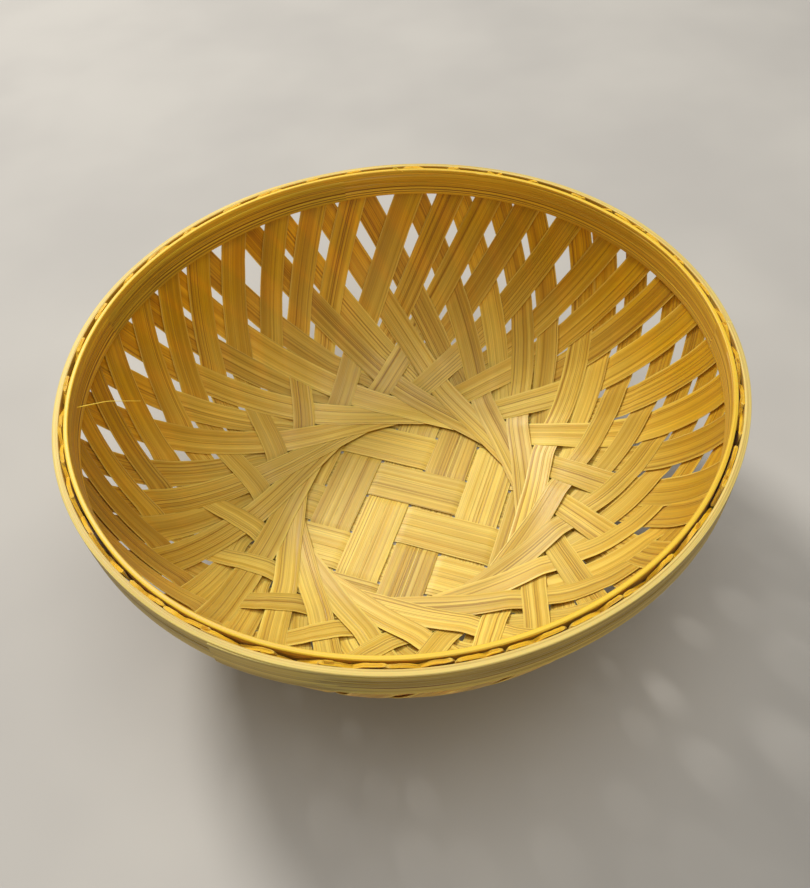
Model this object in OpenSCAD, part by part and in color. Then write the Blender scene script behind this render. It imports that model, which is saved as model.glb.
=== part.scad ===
// Round bread basket woven from flat bamboo splints.
// Twelve base strips cross in a twill on the floor of the bowl. The ends of the wide ones are
// split in two, and every end climbs the wall, half of them leaning left and half leaning right.
// Twenty ring strips lie on the base tangent to one circle, so that their middles form a
// rosette around a round window, and their ends climb the wall between the base strips.
// All ends are pinched between an inner and an outer hoop at the rim.
// Units are millimetres, +Z is up and the origin is the centre of the base underside.

/* [Bowl] */
// Outer radius of the rim
rim_r = 125; // [110:1:140]
// Height of the wall's middle surface
wall_h = 100; // [85:1:110]
// Fullness of the wall's curve: a higher value makes a squarer bowl
wall_bulge = 1.8; // [1.6:0.05:2.0]

/* [Strips] */
// Thickness of every strip
strip_t = 0.5; // [0.4:0.05:0.6]
// Half the height step between a strip that runs over and one that runs under
weave_h = 0.45; // [0.4:0.05:0.6]

/* [Rosette] */
// Radius of the circle that the middles of the ring strips touch
ring_r = 53.7; // [50:0.1:56]
// Width of a ring strip at its middle
ring_w = 11.4; // [9:0.1:12]
// Width of a ring strip at the rim
ring_end_w = 11.5; // [9:0.1:12]
// Height that each strip of the rosette gains over the next one
fan_step = 0.65; // [0.6:0.05:0.8]

/* [Base] */
// Turn of the base weave about the vertical
base_turn = -23; // [-45:1:45]
// Distance between the middles of neighbouring wide base strips
base_pitch = 21; // [19:0.5:22]
// Gap between neighbouring base strips
base_gap = 1.4; // [1:0.1:2]
// Width of the four narrow strips at the edge of the base
narrow_w = 10.4; // [8:0.1:11]
// Width at the rim of the strips that come from the base
tail_end_w = 11; // [9:0.1:12]

/* [Hoops] */
// Height of the outer hoop
outer_hoop_h = 12.5; // [9:0.5:16]
// Thickness of the outer hoop
outer_hoop_t = 2.1; // [1.5:0.1:2.4]
// Height of the inner hoop
inner_hoop_h = 13.2; // [9:0.5:16]
// Thickness of the inner hoop
inner_hoop_t = 1.6; // [1.5:0.1:2.4]

/* [Hidden] */
RING_NODES = [
    "ring_strip_01", "ring_strip_02", "ring_strip_03", "ring_strip_04", "ring_strip_05",
    "ring_strip_06", "ring_strip_07", "ring_strip_08", "ring_strip_09", "ring_strip_10",
    "ring_strip_11", "ring_strip_12", "ring_strip_13", "ring_strip_14", "ring_strip_15",
    "ring_strip_16", "ring_strip_17", "ring_strip_18", "ring_strip_19", "ring_strip_20",
];
WARP_NODES = [
    "base_warp_1", "base_warp_2", "base_warp_3", "base_warp_4", "base_warp_5", "base_warp_6",
];
WEFT_NODES = [
    "base_weft_1", "base_weft_2", "base_weft_3", "base_weft_4", "base_weft_5", "base_weft_6",
];

// Twenty ring strips share the circle. Strips of one hand stand half a pitch apart on the wall,
// a ring strip and a base strip by turns, so a strip meets the other hand every cross_turn.
ring_count = 20;
pitch_turn = 360 / ring_count;
cross_turn = pitch_turn / 4;

// Middle surface of the wall: flat out to flat_r, then a superellipse quarter up to the rim
hoop_gap = 3.1;
outer_clearance = 1;
flat_margin = 0.3;
flat_r = ring_r + flat_margin;
wall_top_r = rim_r - outer_hoop_t - outer_clearance;
wall_span = wall_top_r - flat_r;
curve_power = 2 / wall_bulge;
base_lift = weave_h + strip_t / 2;
steep_slope = 40;
last_angle = 89.9;
base_overlap_lift = 0.85;

function profile_r(a) = flat_r + wall_span * pow(sin(a), curve_power);
function profile_z(a) = wall_h * (1 - pow(cos(a), curve_power));
function profile_slope(a) =
    let (rise = wall_h * pow(cos(a), curve_power - 1) * sin(a),
         run = wall_span * pow(sin(a), curve_power - 1) * cos(a))
    atan2(rise, run);
function angle_at_r(r) =
    r <= flat_r ? 0 : asin(pow(min(1, (r - flat_r) / wall_span), 1 / curve_power));
function angle_at_z(z) =
    min(last_angle, acos(pow(max(0, 1 - z / wall_h), 1 / curve_power)));

// How far a strip has turned about the axis when it crosses each radius. A strip runs straight
// over the base, where its tangent circle is ring_r, and leans less once it climbs the wall.
lean_share = 0.84;
wall_lean_r = lean_share * ring_r;
lean_start_r = 65.6;
lean_end_r = 75.7;
function smooth(x) = let (u = min(1, max(0, x))) u * u * (3 - 2 * u);
function lean_r(r) =
    ring_r - (ring_r - wall_lean_r) * smooth((r - lean_start_r) / (lean_end_r - lean_start_r));
function turn_rate(r, tangent_r) = (180 / PI) * tangent_r / (r * sqrt(r * r - tangent_r * tangent_r));

station_count = 120;
station_angles = [for (i = [0:station_count]) last_angle * i / station_count];
function extra_turn(i) =
    let (a = station_angles[i], b = station_angles[i + 1],
         dr = profile_r(b) - profile_r(a), dz = profile_z(b) - profile_z(a),
         r = (profile_r(a) + profile_r(b)) / 2)
    turn_rate(r, lean_r(r)) * norm([dr, dz]) - turn_rate(r, ring_r) * dr;
extra_turns = [
    for (i = 0, sum = 0; i <= station_count; sum = sum + (i < station_count ? extra_turn(i) : 0), i = i + 1)
        sum
];
turn_table = [
    for (i = [0:station_count])
        let (a = station_angles[i]) [acos(ring_r / profile_r(a)) + extra_turns[i], a]
];
flat_turn = 20;
function angle_at_turn(turn) =
    turn < flat_turn ? angle_at_r(ring_r / cos(turn)) : lookup(turn, turn_table);
function radius_at_turn(turn) =
    turn < flat_turn ? ring_r / cos(turn) : profile_r(lookup(turn, turn_table));
turn_from_angle = [for (row = turn_table) [row[1], row[0]]];
function turn_at_r(r) = lookup(angle_at_r(r), turn_from_angle);

// Points on the middle surface, and the surface's normal towards the inside of the bowl
function on_surface(r, a, azimuth) =
    [r * cos(azimuth), r * sin(azimuth), base_lift + (r <= flat_r ? 0 : profile_z(a))];
function surface_normal(a, azimuth) =
    let (s = profile_slope(a)) [-sin(s) * cos(azimuth), -sin(s) * sin(azimuth), cos(s)];
function unit(v) = v / norm(v);

// One corner pair of a strip's section: the point beside the centre line is laid onto the
// surface again, then lifted by the weave and split into the strip's two faces
function edge_points(centre, side, offset, slope, lift) =
    let (p = centre + side * offset,
         azimuth = atan2(p.y, p.x),
         flat_dist = norm([p.x, p.y]),
         a = slope < steep_slope ? angle_at_r(flat_dist) : angle_at_z(p.z - base_lift),
         r = slope < steep_slope ? flat_dist : profile_r(a),
         foot = on_surface(r, a, azimuth),
         n = surface_normal(a, azimuth))
    [foot + n * (lift + strip_t / 2), foot + n * (lift - strip_t / 2)];

// Section of a strip. Each entry of marks is [offset to the right of the line, lift]. A section
// is square to the strip, or slanted to lie along the strips of the other hand, which is how a
// woven strip bends over and under them.
function section(centre, along, a, azimuth, marks, slanted = false) =
    let (side = unit(cross(along, surface_normal(a, azimuth))),
         round_about = [-sin(azimuth), cos(azimuth), 0],
         crossing = along - 2 * (along * round_about) * round_about,
         across = slanted ? crossing / (crossing * side) : side,
         pairs = [for (m = marks) edge_points(centre, across, m[0], profile_slope(a), m[1])],
         last = len(marks) - 1)
    [for (p = pairs) p[0], for (i = [last:-1:0]) pairs[i][1]];

// Faces between two sections, given the point numbers of each in order round the section
function skin(near, far) =
    [for (i = [0:len(near) - 1])
        let (j = (i + 1) % len(near)) each [[near[i], near[j], far[j]], [near[i], far[j], far[i]]]];
function turned(faces) = [for (f = faces) [f[2], f[1], f[0]]];

// Ring strips. The middle of each strip is a ramp of one fan_step for each neighbour, which lets
// the strips lie on each other like the leaves of an iris. Past the ramp, the lift at each
// crossing number says whether the strip runs over or under. Crossing numbers count the
// crossings from the strip's tangent point, cross_turn apart.
ramp_reach = 2.4;
ramp_end = 8;
ring_low = weave_h + base_overlap_lift;
ring_mid = ring_low + fan_step * ramp_reach;
ring_high = ring_mid + fan_step * ramp_reach;
over = weave_h;
under = -weave_h;
left_path = [
    [8.65, ring_high], [9.4, 2.45], [10.6, 2.45], [11.05, 1.5], [11.4, 1.2], [11.6, 1.05], [12.4, 1],
    [12.65, over], [13.35, over], [13.65, under], [16.5, under],
];
right_path = [
    [8.65, ring_low], [9.4, 3.25], [10.6, 3.25], [11.05, 1.8], [11.4, 1.35], [11.6, 0.4], [12.4, 0.15],
    [12.65, under], [13.35, under], [13.65, over], [16.5, over],
];
arm_numbers = [
    2, 4, 6, 7, 8, 8.65, 9.4, 10, 10.6, 11.05, 11.4, 11.6, 12.4, 12.65, 13.35, 13.65, 14.35,
    14.65, 15.35, 15.65, 16.5,
];
last_number = 16.5;

// A strip keeps one width up to this crossing, and from there changes evenly up to the rim
widening_number = 12.65;
function rim_share(number) = max(0, (number - widening_number) / (last_number - widening_number));
function width_at(number, low_width, rim_width) = low_width + (rim_width - low_width) * rim_share(number);
function ring_width(turn) = width_at(abs(turn) / cross_turn, ring_w, ring_end_w);
function ring_lift(turn, offset) =
    let (number = abs(turn) / cross_turn,
         edge_turn = atan2(ring_r * tan(turn), ring_r + offset),
         steps = min(ramp_reach, max(-ramp_reach, edge_turn / pitch_turn)))
    number <= ramp_end ? ring_mid + fan_step * steps
        : lookup(number, turn > 0 ? left_path : right_path);
function ring_centre(turn, start) =
    on_surface(radius_at_turn(abs(turn)), angle_at_turn(abs(turn)), start + turn);
turn_step = 0.2;
slant_from = ramp_end + 0.5;
function ring_section(turn, start) =
    let (half = ring_width(turn) / 2,
         step = turn_step,
         along = ring_centre(turn + step, start) - ring_centre(turn - step, start))
    section(ring_centre(turn, start), along, angle_at_turn(abs(turn)), start + turn,
        [[-half, ring_lift(turn, -half)], [half, ring_lift(turn, half)]],
        abs(turn) > slant_from * cross_turn);

strip_numbers = [
    for (i = [len(arm_numbers) - 1:-1:0]) -arm_numbers[i], 0, each arm_numbers
];

module ribbon(sections) {
    count = len(sections);
    points = [for (s = sections) each s];
    faces = [
        [0, 1, 2], [0, 2, 3],
        for (i = [0:count - 2])
            each turned(skin([for (k = [0:3]) 4 * i + k], [for (k = [0:3]) 4 * i + 4 + k])),
        [4 * count - 2, 4 * count - 3, 4 * count - 4], [4 * count - 1, 4 * count - 2, 4 * count - 4],
    ];
    polyhedron(points = points, faces = faces);
}

ring_offset = 36;
ring_start = base_turn + ring_offset;
module ring_strip(index) {
    color("burlywood")
        ribbon([for (n = strip_numbers) ring_section(n * cross_turn, ring_start + index * pitch_turn)]);
}

// Base strips. Offsets are counted to the right of the outward direction of one end.
wide_w = base_pitch - base_gap;
half_w = wide_w / 2;
narrow_offset = 2 * base_pitch + base_gap / 2 + narrow_w / 2;
base_offsets = [
    -narrow_offset, -1.5 * base_pitch, -0.5 * base_pitch,
    0.5 * base_pitch, 1.5 * base_pitch, narrow_offset,
];
base_widths = [narrow_w, wide_w, wide_w, wide_w, wide_w, narrow_w];
edge_ease = 0.3;
split_margin = 1.9;
split_at = narrow_offset + narrow_w / 2 + split_margin;
tail_margin = 3.5;
blend_end_r = 87.5;
tail_steps = 5;
middle_slot = 4.5;

// Twill of the base: where the two numbers add up to 0 or 3, modulo 4, the warp lies on top
function warp_on_top(warp, weft) = let (m = (warp + weft) % 4) m == 0 || m == 3;
function base_lift_at(is_warp, index, crossing) =
    (is_warp ? warp_on_top(index, crossing) : !warp_on_top(crossing, index)) ? weave_h : -weave_h;

// Marks of the band's sections: its two edges, and its middle too where it will be split
function base_marks(index, lift) =
    let (half = base_widths[index] / 2)
    is_split(index) ? [[-half, lift], [0, lift], [half, lift]] : [[-half, lift], [half, lift]];
function is_split(index) = index > 0 && index < 5;

function base_section(direction, offset, index, reach, lift) =
    let (x = reach * cos(direction) + offset * sin(direction),
         y = reach * sin(direction) - offset * cos(direction),
         r = norm([x, y]),
         azimuth = atan2(y, x),
         a = angle_at_r(r))
    section(on_surface(r, a, azimuth), [cos(direction), sin(direction), 0], a, azimuth,
        base_marks(index, lift));

// Tails. A tail starts straight ahead from the base weave, swings over to its own slot
// between the ring strips, and climbs the wall there. hand is 1 for one that turns left.
function slot_azimuth(direction, hand, slot, turn) =
    direction + hand * (pitch_turn * (slot - middle_slot) + turn);
function tail_azimuth(direction, hand, slot, offset, r) =
    let (start_r = norm([split_at, offset]),
         w = smooth((r - start_r) / (blend_end_r - start_r)))
    (1 - w) * (direction - asin(offset / r))
        + w * slot_azimuth(direction, hand, slot, turn_at_r(r));
function tail_centre(direction, hand, slot, offset, r) =
    on_surface(r, angle_at_r(r), tail_azimuth(direction, hand, slot, offset, r));
radius_step = 0.3;
function low_tail_section(direction, hand, slot, offset, width, r) =
    let (step = radius_step,
         lift = hand * weave_h,
         centre = tail_centre(direction, hand, slot, offset, r),
         along = tail_centre(direction, hand, slot, offset, r + step) - centre)
    section(centre, along, angle_at_r(r), atan2(centre.y, centre.x),
        [[-width / 2, lift], [width / 2, lift]]);
function wall_tail_centre(direction, hand, slot, turn) =
    on_surface(radius_at_turn(turn), angle_at_turn(turn), slot_azimuth(direction, hand, slot, turn));
swap_number = 13.5;
function wall_tail_section(direction, hand, slot, width, number) =
    let (step = turn_step,
         turn = number * cross_turn,
         lift = (number < swap_number ? hand : -hand) * weave_h,
         centre = wall_tail_centre(direction, hand, slot, turn),
         along = centre - wall_tail_centre(direction, hand, slot, turn - step))
    section(centre, along, angle_at_turn(turn), atan2(centre.y, centre.x),
        [[-width / 2, lift], [width / 2, lift]], true);
tail_numbers = [12, 12.65, 13.35, 13.65, 14.35, 14.65, 15.35, 15.65, 16.5];
function tail_sections(direction, hand, slot, offset, width) =
    let (first_r = norm([split_at + tail_margin, offset]), reach = blend_end_r - 1 - first_r)
    [
        for (i = [0:tail_steps - 1])
            low_tail_section(direction, hand, slot, offset, width, first_r + reach * i / tail_steps),
        for (n = tail_numbers)
            wall_tail_section(direction, hand, slot, width_at(n, width, tail_end_w), n),
    ];

// Slot of the tail that leaves the base at this place in the row, counted against the hand
function slot_of(hand, index) = hand > 0 ? 5 - index : index;

band_reaches = [
    for (i = [0:5])
        let (reach = base_widths[i] / 2 - edge_ease)
        each [
            [base_offsets[i] - reach, i],
            each (is_split(i) ? [[base_offsets[i], i]] : []),
            [base_offsets[i] + reach, i],
        ]
];

// Faces of a tail that starts from four numbered points of the band
function tail_faces(start, first, count) = [
    each turned(skin(start, [for (k = [0:3]) first + k])),
    for (i = [0:count - 2])
        each turned(skin([for (k = [0:3]) first + 4 * i + k], [for (k = [0:3]) first + 4 * i + 4 + k])),
    [first + 4 * count - 2, first + 4 * count - 3, first + 4 * count - 4],
    [first + 4 * count - 1, first + 4 * count - 2, first + 4 * count - 4],
];

// A wide strip: a band whose two ends each part into a left and a right tail
module split_strip(direction, index, is_warp) {
    offset = (is_warp ? 1 : -1) * base_offsets[index];
    band = [
        base_section(direction, offset, index, -split_at, 0),
        for (c = band_reaches) base_section(direction, offset, index, c[0],
            base_lift_at(is_warp, index, c[1])),
        base_section(direction, offset, index, split_at, 0),
    ];
    row = is_warp ? index : 5 - index;
    far_left = tail_sections(direction, 1, slot_of(1, row), offset - half_w / 2, half_w);
    far_right = tail_sections(direction, -1, slot_of(-1, row), offset + half_w / 2, half_w);
    near_left = tail_sections(direction + 180, 1, slot_of(1, 5 - row), -offset - half_w / 2, half_w);
    near_right = tail_sections(direction + 180, -1, slot_of(-1, 5 - row), -offset + half_w / 2, half_w);
    count = len(band);
    tail_count = len(far_left);
    base_end = 6 * (count - 1);
    first_tail = 6 * count;
    points = [
        for (s = [each band, each far_left, each far_right, each near_left, each near_right]) each s
    ];
    faces = [
        for (i = [0:count - 2])
            each turned(skin([for (k = [0:5]) 6 * i + k], [for (k = [0:5]) 6 * i + 6 + k])),
        each tail_faces([base_end, base_end + 1, base_end + 4, base_end + 5], first_tail, tail_count),
        each tail_faces([base_end + 1, base_end + 2, base_end + 3, base_end + 4],
            first_tail + 4 * tail_count, tail_count),
        each tail_faces([2, 1, 4, 3], first_tail + 8 * tail_count, tail_count),
        each tail_faces([1, 0, 5, 4], first_tail + 12 * tail_count, tail_count),
    ];
    polyhedron(points = points, faces = faces);
}

// A narrow strip at the edge of the base: one ribbon from rim to rim
module whole_strip(direction, index, is_warp) {
    offset = (is_warp ? 1 : -1) * base_offsets[index];
    far_hand = offset > 0 ? 1 : -1;
    far = tail_sections(direction, far_hand, 0, offset, narrow_w);
    near = tail_sections(direction + 180, -far_hand, 0, -offset, narrow_w);
    last = len(near) - 1;
    ribbon([
        for (i = [last:-1:0]) let (s = near[i]) [s[1], s[0], s[3], s[2]],
        for (c = band_reaches)
            base_section(direction, offset, index, c[0], base_lift_at(is_warp, index, c[1])),
        each far,
    ]);
}

module base_strip(direction, index, is_warp) {
    if (is_split(index)) split_strip(direction, index, is_warp);
    else whole_strip(direction, index, is_warp);
}
module base_warp(index) {
    color("burlywood") base_strip(base_turn + 90, index, true);
}
module base_weft(index) {
    color("wheat") base_strip(base_turn, index, false);
}

// Hoops. The outer one is one strip bent round, whose thinned end laps over its start.
hoop_top = base_lift + wall_h;
inner_hoop_rise = 0.4;
inner_hoop_r = rim_r - outer_hoop_t - hoop_gap - inner_hoop_t;
lap_start = 241;
lap_turn = 20;
lap_out = 0.2;
lap_in = 0.5;
lap_margin = 0.3;
facets = 180;

module inner_hoop() {
    color("goldenrod")
        rotate_extrude($fn = facets)
            translate([inner_hoop_r, hoop_top + inner_hoop_rise - inner_hoop_h])
                square([inner_hoop_t, inner_hoop_h]);
}
module outer_hoop() {
    color("tan") {
        rotate_extrude($fn = facets)
            translate([rim_r - outer_hoop_t, hoop_top - outer_hoop_h])
                square([outer_hoop_t, outer_hoop_h]);
        rotate([0, 0, lap_start])
            rotate_extrude(angle = lap_turn, $fn = facets)
                translate([rim_r - lap_in, hoop_top - outer_hoop_h + lap_margin])
                    square([lap_in + lap_out, outer_hoop_h - 2 * lap_margin]);
    }
}

ring_strip(0);  // ring_strip_01
ring_strip(1);  // ring_strip_02
ring_strip(2);  // ring_strip_03
ring_strip(3);  // ring_strip_04
ring_strip(4);  // ring_strip_05
ring_strip(5);  // ring_strip_06
ring_strip(6);  // ring_strip_07
ring_strip(7);  // ring_strip_08
ring_strip(8);  // ring_strip_09
ring_strip(9);  // ring_strip_10
ring_strip(10);  // ring_strip_11
ring_strip(11);  // ring_strip_12
ring_strip(12);  // ring_strip_13
ring_strip(13);  // ring_strip_14
ring_strip(14);  // ring_strip_15
ring_strip(15);  // ring_strip_16
ring_strip(16);  // ring_strip_17
ring_strip(17);  // ring_strip_18
ring_strip(18);  // ring_strip_19
ring_strip(19);  // ring_strip_20
base_warp(0);  // base_warp_1
base_warp(1);  // base_warp_2
base_warp(2);  // base_warp_3
base_warp(3);  // base_warp_4
base_warp(4);  // base_warp_5
base_warp(5);  // base_warp_6
base_weft(0);  // base_weft_1
base_weft(1);  // base_weft_2
base_weft(2);  // base_weft_3
base_weft(3);  // base_weft_4
base_weft(4);  // base_weft_5
base_weft(5);  // base_weft_6
inner_hoop();
outer_hoop();
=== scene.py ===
"""Round bread basket woven from flat bamboo splints.

Lengths in the weave section are millimetres, as on the part, and become metres when a mesh is made.
Every strip is a ribbon laid on the bowl's middle surface. Its centre line says where it runs, and
its lift says whether it passes over or under the strips that it crosses.
"""
import math

import bpy
import numpy as np
from mathutils import Matrix, Vector


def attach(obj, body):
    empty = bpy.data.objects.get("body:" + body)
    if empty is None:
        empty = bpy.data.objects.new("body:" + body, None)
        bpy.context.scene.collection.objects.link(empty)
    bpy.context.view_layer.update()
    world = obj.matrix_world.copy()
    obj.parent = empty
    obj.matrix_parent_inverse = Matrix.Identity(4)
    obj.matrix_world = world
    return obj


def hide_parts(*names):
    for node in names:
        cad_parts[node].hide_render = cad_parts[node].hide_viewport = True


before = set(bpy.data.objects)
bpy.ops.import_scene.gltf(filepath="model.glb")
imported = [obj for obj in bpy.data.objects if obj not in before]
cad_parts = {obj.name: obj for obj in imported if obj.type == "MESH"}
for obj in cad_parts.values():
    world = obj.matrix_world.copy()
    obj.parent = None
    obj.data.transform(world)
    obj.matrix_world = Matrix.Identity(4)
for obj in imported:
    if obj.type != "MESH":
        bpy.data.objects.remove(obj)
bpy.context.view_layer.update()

MM = 0.001
rng = np.random.default_rng(41)

# ---------------------------------------------------------------- driving dimensions, millimetres
RIM_R = 125.0
WALL_H = 100.0
CURVE_POWER = 2 / 1.8
CAD_STRIP_T = 0.5
STRIP_T = 0.42
WEAVE_H = 0.45
RING_COUNT = 20
RING_R = 53.7
RING_W = 11.4
RING_END_W = 12.4
TAIL_END_W = 12.0
FAN_STEP = 0.53
BASE_TURN = -23.0
BASE_PITCH = 21.0
BASE_GAP = 1.4
NARROW_W = 10.4
OUTER_HOOP_H = 12.5
OUTER_HOOP_T = 2.1
INNER_HOOP_H = 13.2
INNER_HOOP_T = 1.6
HOOP_GAP = 3.1
INNER_HOOP_OUT = 0.8
INNER_HOOP_RISE = 0.4
OUTER_HOOP_IN = 0.3
OUTER_CLEARANCE = 1.0

# ---------------------------------------------------------------- the bowl's middle surface
PITCH_TURN = 360 / RING_COUNT
CROSS_TURN = PITCH_TURN / 4
WIDENING_TURN = 47
WIDENING_REACH = 14
SLOT_TURN = PITCH_TURN / 2
FLAT_MARGIN = 0.3
FLAT_R = RING_R + FLAT_MARGIN
WALL_TOP_R = RIM_R - OUTER_HOOP_T - OUTER_CLEARANCE
WALL_SPAN = WALL_TOP_R - FLAT_R
BASE_LIFT = WEAVE_H + CAD_STRIP_T / 2
HOOP_TOP = BASE_LIFT + WALL_H
LEAN_SHARE = 0.84
WALL_LEAN_R = LEAN_SHARE * RING_R
LEAN_START_R = 65.6
LEAN_END_R = 75.7
RING_OFFSET = 36
RING_START = BASE_TURN + RING_OFFSET
PROFILE_STEPS = 3001


def smooth(x):
    """Rise from 0 to 1 with level ends."""
    x = np.clip(x, 0, 1)
    return x * x * (3 - 2 * x)


def profile(angle):
    """Radius and height of the middle surface at a profile angle in radians."""
    r = FLAT_R + WALL_SPAN * np.sin(angle) ** CURVE_POWER
    z = WALL_H * (1 - np.clip(np.cos(angle), 0, 1) ** CURVE_POWER)
    return r, z


def profile_tables():
    """Tables along the wall: profile angle, radius, height, length up the wall, and strip turn."""
    angle = np.radians(np.linspace(0, 90, PROFILE_STEPS))
    r, z = profile(angle)
    step = np.hypot(np.diff(r), np.diff(z))
    length = np.concatenate([[0], np.cumsum(step)])
    middle = (r[1:] + r[:-1]) / 2
    lean_share = smooth((middle - LEAN_START_R) / (LEAN_END_R - LEAN_START_R))
    lean = RING_R - (RING_R - WALL_LEAN_R) * lean_share
    rate = lean / (middle * np.sqrt(middle ** 2 - lean ** 2))
    flat_rate = RING_R / (middle * np.sqrt(middle ** 2 - RING_R ** 2))
    extra = np.concatenate([[0], np.cumsum(rate * step - flat_rate * np.diff(r))])
    turn = np.degrees(np.arccos(RING_R / r) + extra)
    return angle, r, z, length, turn


T_ANGLE, T_R, T_Z, T_LENGTH, T_TURN = profile_tables()


def angle_at_r(r):
    """Profile angle of the surface at a radius."""
    share = np.clip((r - FLAT_R) / WALL_SPAN, 0, 1)
    return np.arcsin(share ** (1 / CURVE_POWER))


def angle_at_z(z):
    """Profile angle of the surface at a height above the base's middle surface."""
    share = np.clip(1 - z / WALL_H, 0, 1)
    return np.arccos(share ** (1 / CURVE_POWER))


def slope(angle):
    """Slope of the wall in radians at a profile angle."""
    rise = WALL_H * np.clip(np.cos(angle), 0, 1) ** (CURVE_POWER - 1) * np.sin(angle)
    run = WALL_SPAN * np.sin(angle) ** (CURVE_POWER - 1) * np.cos(angle)
    return np.arctan2(rise, np.maximum(run, 1e-9)) * (angle > 0)


def on_surface(r, angle, azimuth):
    """Points on the middle surface, from radius, profile angle and azimuth in degrees."""
    z = np.where(r <= FLAT_R, 0, profile(angle)[1])
    turn = np.radians(azimuth)
    return np.stack([r * np.cos(turn), r * np.sin(turn), BASE_LIFT + z], -1)


def normal(angle, azimuth):
    """Surface normal towards the inside of the bowl."""
    turn = np.radians(azimuth)
    tilt = slope(angle)
    return np.stack([-np.sin(tilt) * np.cos(turn), -np.sin(tilt) * np.sin(turn), np.cos(tilt)], -1)


def turn_at_r(r):
    """Strip turn in degrees where a strip crosses a radius, on the base or on the wall."""
    on_base = np.degrees(np.arccos(np.clip(RING_R / np.maximum(r, RING_R), 0, 1)))
    return np.where(r <= FLAT_R, on_base, np.interp(r, T_R, T_TURN))


def unit(v):
    """Vectors of length one along the given ones."""
    return v / np.linalg.norm(v, axis=-1, keepdims=True)


def wrap(azimuth):
    """Azimuth difference brought to within half a turn."""
    return (azimuth + 180) % 360 - 180


# ---------------------------------------------------------------- hand-made unevenness
def wander(count, knots, size):
    """Smooth random curve of count values with about knots bends."""
    values = rng.normal(0, size, knots + 3)
    x = np.linspace(0, knots, count)
    i = x.astype(int)
    t = x - i
    a, b, c, d = values[i], values[i + 1], values[i + 2], values[np.minimum(i + 3, knots + 2)]
    linear = (c - a) * t
    square = (2 * a - 5 * b + 4 * c - d) * t * t
    cube = (3 * b - a - 3 * c + d) * t ** 3
    return 0.5 * (2 * b + linear + square + cube)


FAMILY = 2 * RING_COUNT
LEAN_SIZE = 1.15
LEAN_LIMIT = 2.2
LEAN_JITTER = np.clip(rng.normal(0, LEAN_SIZE, (2, FAMILY)), -LEAN_LIMIT, LEAN_LIMIT)
LEAN_FROM_TURN = 38
STEEP_SHARE = 0.8
LEAN_OVER_TURN = 25
RIM_TURN = 66
SPREAD_TURN = 5.0
SPREAD_MIDDLE = 85


def strip_jitter(hand, index, turn):
    """Degrees by which a strip of one hand stands off its place, growing from the base up.

    Each strip has its own small lean, and the strips stand a little further apart at the back.
    """
    index = np.asarray(index) % FAMILY
    top_azimuth = RING_START + SLOT_TURN * index + hand * RIM_TURN
    spread = SPREAD_TURN * np.sin(np.radians(top_azimuth - SPREAD_MIDDLE))
    lean = LEAN_JITTER[0 if hand > 0 else 1][index] + spread
    return lean * smooth((turn - LEAN_FROM_TURN) / LEAN_OVER_TURN)


def crossing_number(points, hand, index):
    """Where points of a strip lie among the strips of the other hand, in crossings from its start."""
    azimuth = np.degrees(np.arctan2(points[..., 1], points[..., 0]))
    r = np.hypot(points[..., 0], points[..., 1])
    z = points[..., 2] - BASE_LIFT
    angle = np.where(r < STEEP_SHARE * RIM_R, angle_at_r(r), angle_at_z(z))
    turn = np.interp(angle, T_ANGLE, T_TURN)
    own = RING_START + SLOT_TURN * index
    spread = hand * (azimuth - own)
    spread = spread - 360 * np.round((spread - turn) / 360)
    number = (spread + turn) / SLOT_TURN
    lower = np.floor(number).astype(int)
    share = number - lower
    near = strip_jitter(-hand, index + hand * lower, turn)
    far = strip_jitter(-hand, index + hand * (lower + 1), turn)
    return number - hand * (near * (1 - share) + far * share) / SLOT_TURN


def table_lift(x, table):
    """Read a table of lifts, with a smooth bend between its entries."""
    places = np.array([row[0] for row in table], float)
    lifts = np.array([row[1] for row in table], float)
    i = np.clip(np.searchsorted(places, x) - 1, 0, len(places) - 2)
    t = smooth((x - places[i]) / (places[i + 1] - places[i]))
    return lifts[i] * (1 - t) + lifts[i + 1] * t


# ---------------------------------------------------------------- over and under
RAMP_REACH = 1.8
RING_LOW = WEAVE_H + 0.85
FAN_END_NUMBER = 7.9
FAN_END_REACH = 0.8
RING_MID = RING_LOW + FAN_STEP * RAMP_REACH
RING_HIGH = RING_MID + FAN_STEP * RAMP_REACH
OVER, UNDER = WEAVE_H, -WEAVE_H
LEFT_LIFTS = [
    (8.5, RING_HIGH), (9.5, 2.0), (10.6, 2.0), (11.2, 1.25), (11.6, 0.95), (12.4, 0.85),
    (12.65, OVER), (13.35, OVER), (13.65, UNDER), (17, UNDER),
]
RIGHT_LIFTS = [
    (8.4, RING_LOW), (9.5, 2.55), (10.5, 2.55), (11.05, 1.6), (11.4, 0.95), (11.65, 0.3), (12.4, 0.15),
    (12.65, UNDER), (13.35, UNDER), (13.65, OVER), (17, OVER),
]
BASE_OFFSETS = [
    -(2 * BASE_PITCH + BASE_GAP / 2 + NARROW_W / 2), -1.5 * BASE_PITCH, -0.5 * BASE_PITCH,
    0.5 * BASE_PITCH, 1.5 * BASE_PITCH, 2 * BASE_PITCH + BASE_GAP / 2 + NARROW_W / 2,
]
WIDE_W = BASE_PITCH - BASE_GAP
BASE_WIDTHS = [NARROW_W, WIDE_W, WIDE_W, WIDE_W, WIDE_W, NARROW_W]
BASE_COUNT = len(BASE_OFFSETS)
SPLIT_MARGIN = 1.9
SPLIT_AT = BASE_OFFSETS[-1] + NARROW_W / 2 + SPLIT_MARGIN
SPLIT_REACH = 3.5
BLEND_END_R = 87.5
EDGE_EASE = 0.3
TAIL_SWAP_NUMBER = 13.36
TAIL_SWAP_REACH = 0.28
MIDDLE_SLOT = 4.5
TAIL_START_ROWS = 12


def warp_on_top(warp, weft):
    """The base twill: over two, under two, moved on by one strip in each row."""
    return (warp + weft) % 4 in (0, 3)


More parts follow.
